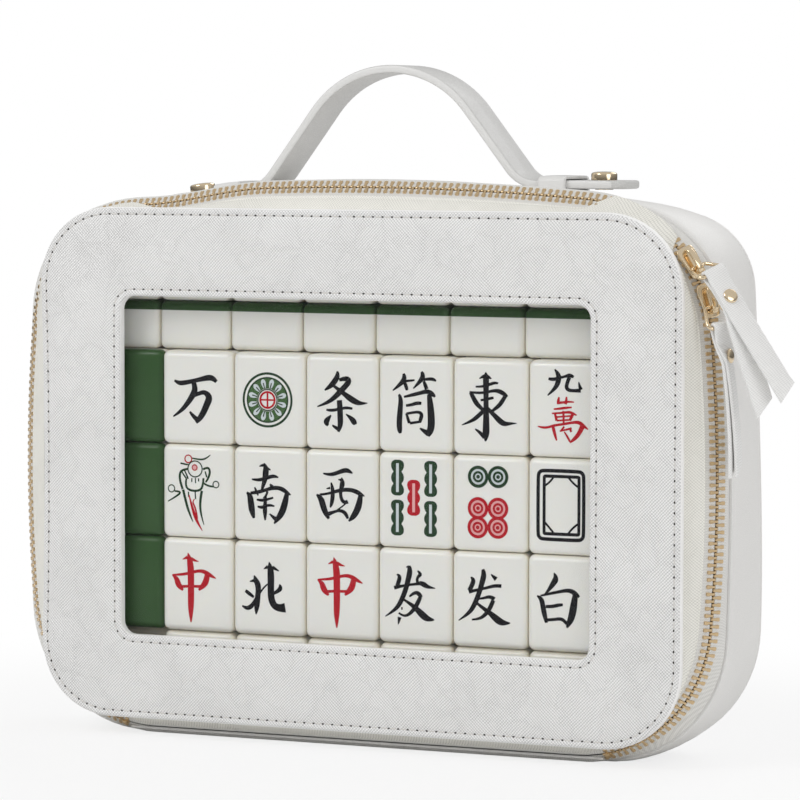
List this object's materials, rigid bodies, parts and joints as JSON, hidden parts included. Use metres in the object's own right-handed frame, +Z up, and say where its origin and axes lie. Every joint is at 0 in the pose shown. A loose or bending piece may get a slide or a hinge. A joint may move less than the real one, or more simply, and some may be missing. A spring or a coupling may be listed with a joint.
{
  "type": "game tile carrying case",
  "caption": "Soft leather carrying case with a clear front window, zip-round lid, twin strap pulls and a looped top handle, packed with game tiles.",
  "frame": {"origin": "On the flat base the case stands on, midway between the front of the lid and the back panel, and midway between the two sides.", "axes": "X runs from left to right as seen from the front, Y from the front of the lid to the back panel, and Z up."},
  "size_m": [0.3686, 0.0673, 0.296],
  "materials": {
    "grained_leather": "off-white leather pressed with a fine crossed grain, satin",
    "gusset_leather": "off-white grained leather, satin",
    "smooth_leather": "smooth off-white leather, low sheen",
    "handle_leather": "off-white leather with a fine grain, satin",
    "strap_leather": "off-white leather strip with a fine grain, satin",
    "lining_cloth": "plain pale woven lining, matt",
    "zip_tape": "white woven zip tape, matt",
    "zip_metal": "antique gold metal, slightly worn",
    "gold_hardware": "polished pale gold plating",
    "window_film": "clear flexible film, glossy",
    "tile_ivory": "ivory white moulded plastic, polished",
    "tile_green": "deep green moulded plastic, polished"
  },
  "bodies": {
    "case_body": {"body_side_wall": "smooth_leather", "body_back_panel": "smooth_leather", "body_lining": "lining_cloth", "body_zip_tape": "zip_tape", "body_zip_teeth": "zip_metal", "zip_end_stops": "zip_metal", "hinge_strip": "smooth_leather", "handle_keeper_left": "handle_leather", "handle_keeper_right": "handle_leather", "handle_arch": "handle_leather", "tiles_front_faces": "tile_ivory", "tiles_front_covers": "tile_green", "tiles_turned_faces": "tile_ivory", "tiles_turned_covers": "tile_green", "tiles_rear_faces": "tile_ivory", "tiles_rear_covers": "tile_green", "tiles_lower_faces": "tile_ivory", "tiles_lower_covers": "tile_green", "tiles_upper_faces": "tile_ivory", "tiles_upper_covers": "tile_green"},
    "lid": {"lid_front_panel": "grained_leather", "window_pane": "window_film", "lid_lining": "lining_cloth", "lid_gusset": "gusset_leather", "lid_zip_tape": "zip_tape", "lid_zip_teeth": "zip_metal"},
    "slider_upper": {"slider_upper": "gold_hardware"},
    "slider_lower": {"slider_lower": "gold_hardware"},
    "pull_ring_upper": {"pull_ring_upper": "gold_hardware"},
    "pull_ring_lower": {"pull_ring_lower": "gold_hardware"},
    "pull_strap_upper": {"pull_strap_upper": "strap_leather", "pull_rivet_upper": "gold_hardware"},
    "pull_strap_lower": {"pull_strap_lower": "strap_leather", "pull_rivet_lower": "gold_hardware"},
    "handle_end_left": {"handle_tail_left": "handle_leather", "handle_stud_left": "gold_hardware"},
    "handle_end_right": {"handle_tail_right": "handle_leather", "handle_stud_right": "gold_hardware"}
  },
  "joints": [
    {"name": "lid_hinge", "type": "hinge", "parent": "case_body", "child": "lid", "pos_m": [0, -0.0189, 0.0027], "axis": [1, 0, 0], "range_deg": [0, 87]},
    {"name": "slider_upper_travel", "type": "hinge", "parent": "lid", "child": "slider_upper", "pos_m": [0.09985, -0.019, 0.17832], "axis": [0, -1, 0], "range_deg": [0, 50]},
    {"name": "slider_lower_travel", "type": "hinge", "parent": "lid", "child": "slider_lower", "pos_m": [0.09985, -0.019, 0.17832], "axis": [0, 1, 0], "range_deg": [0, 10]},
    {"name": "ring_upper_swing", "type": "hinge", "parent": "slider_upper", "child": "pull_ring_upper", "pos_m": [0.1543, -0.0218, 0.2108], "axis": [-0.5358, -0.766, -0.3551], "range_deg": [-4, 75]},
    {"name": "ring_lower_swing", "type": "hinge", "parent": "slider_lower", "child": "pull_ring_lower", "pos_m": [0.16121, -0.0218, 0.19429], "axis": [-0.6137, -0.766, -0.1911], "range_deg": [-4, 18]},
    {"name": "strap_upper_swing", "type": "hinge", "parent": "pull_ring_upper", "child": "pull_strap_upper", "pos_m": [0.16341, -0.02711, 0.20852], "axis": [-0.5358, -0.766, -0.3551], "range_deg": [-4, 75]},
    {"name": "strap_lower_swing", "type": "hinge", "parent": "pull_ring_lower", "child": "pull_strap_lower", "pos_m": [0.16794, -0.02527, 0.18659], "axis": [-0.6137, -0.766, -0.1911], "range_deg": [-4, 23]},
    {"name": "handle_end_right_slide", "type": "slide", "parent": "case_body", "child": "handle_end_right", "axis": [1, 0, 0], "range_m": [0, 0.011], "deforming": ["handle_arch"]},
    {"name": "handle_end_left_slide", "type": "slide", "parent": "case_body", "child": "handle_end_left", "axis": [-0.9962, 0, -0.0872], "range_m": [0, 0.011]}
  ],
  "couplings": [
    {"joint": "handle_end_left_slide", "follows": "handle_end_right_slide", "ratio": 1}
  ]
}
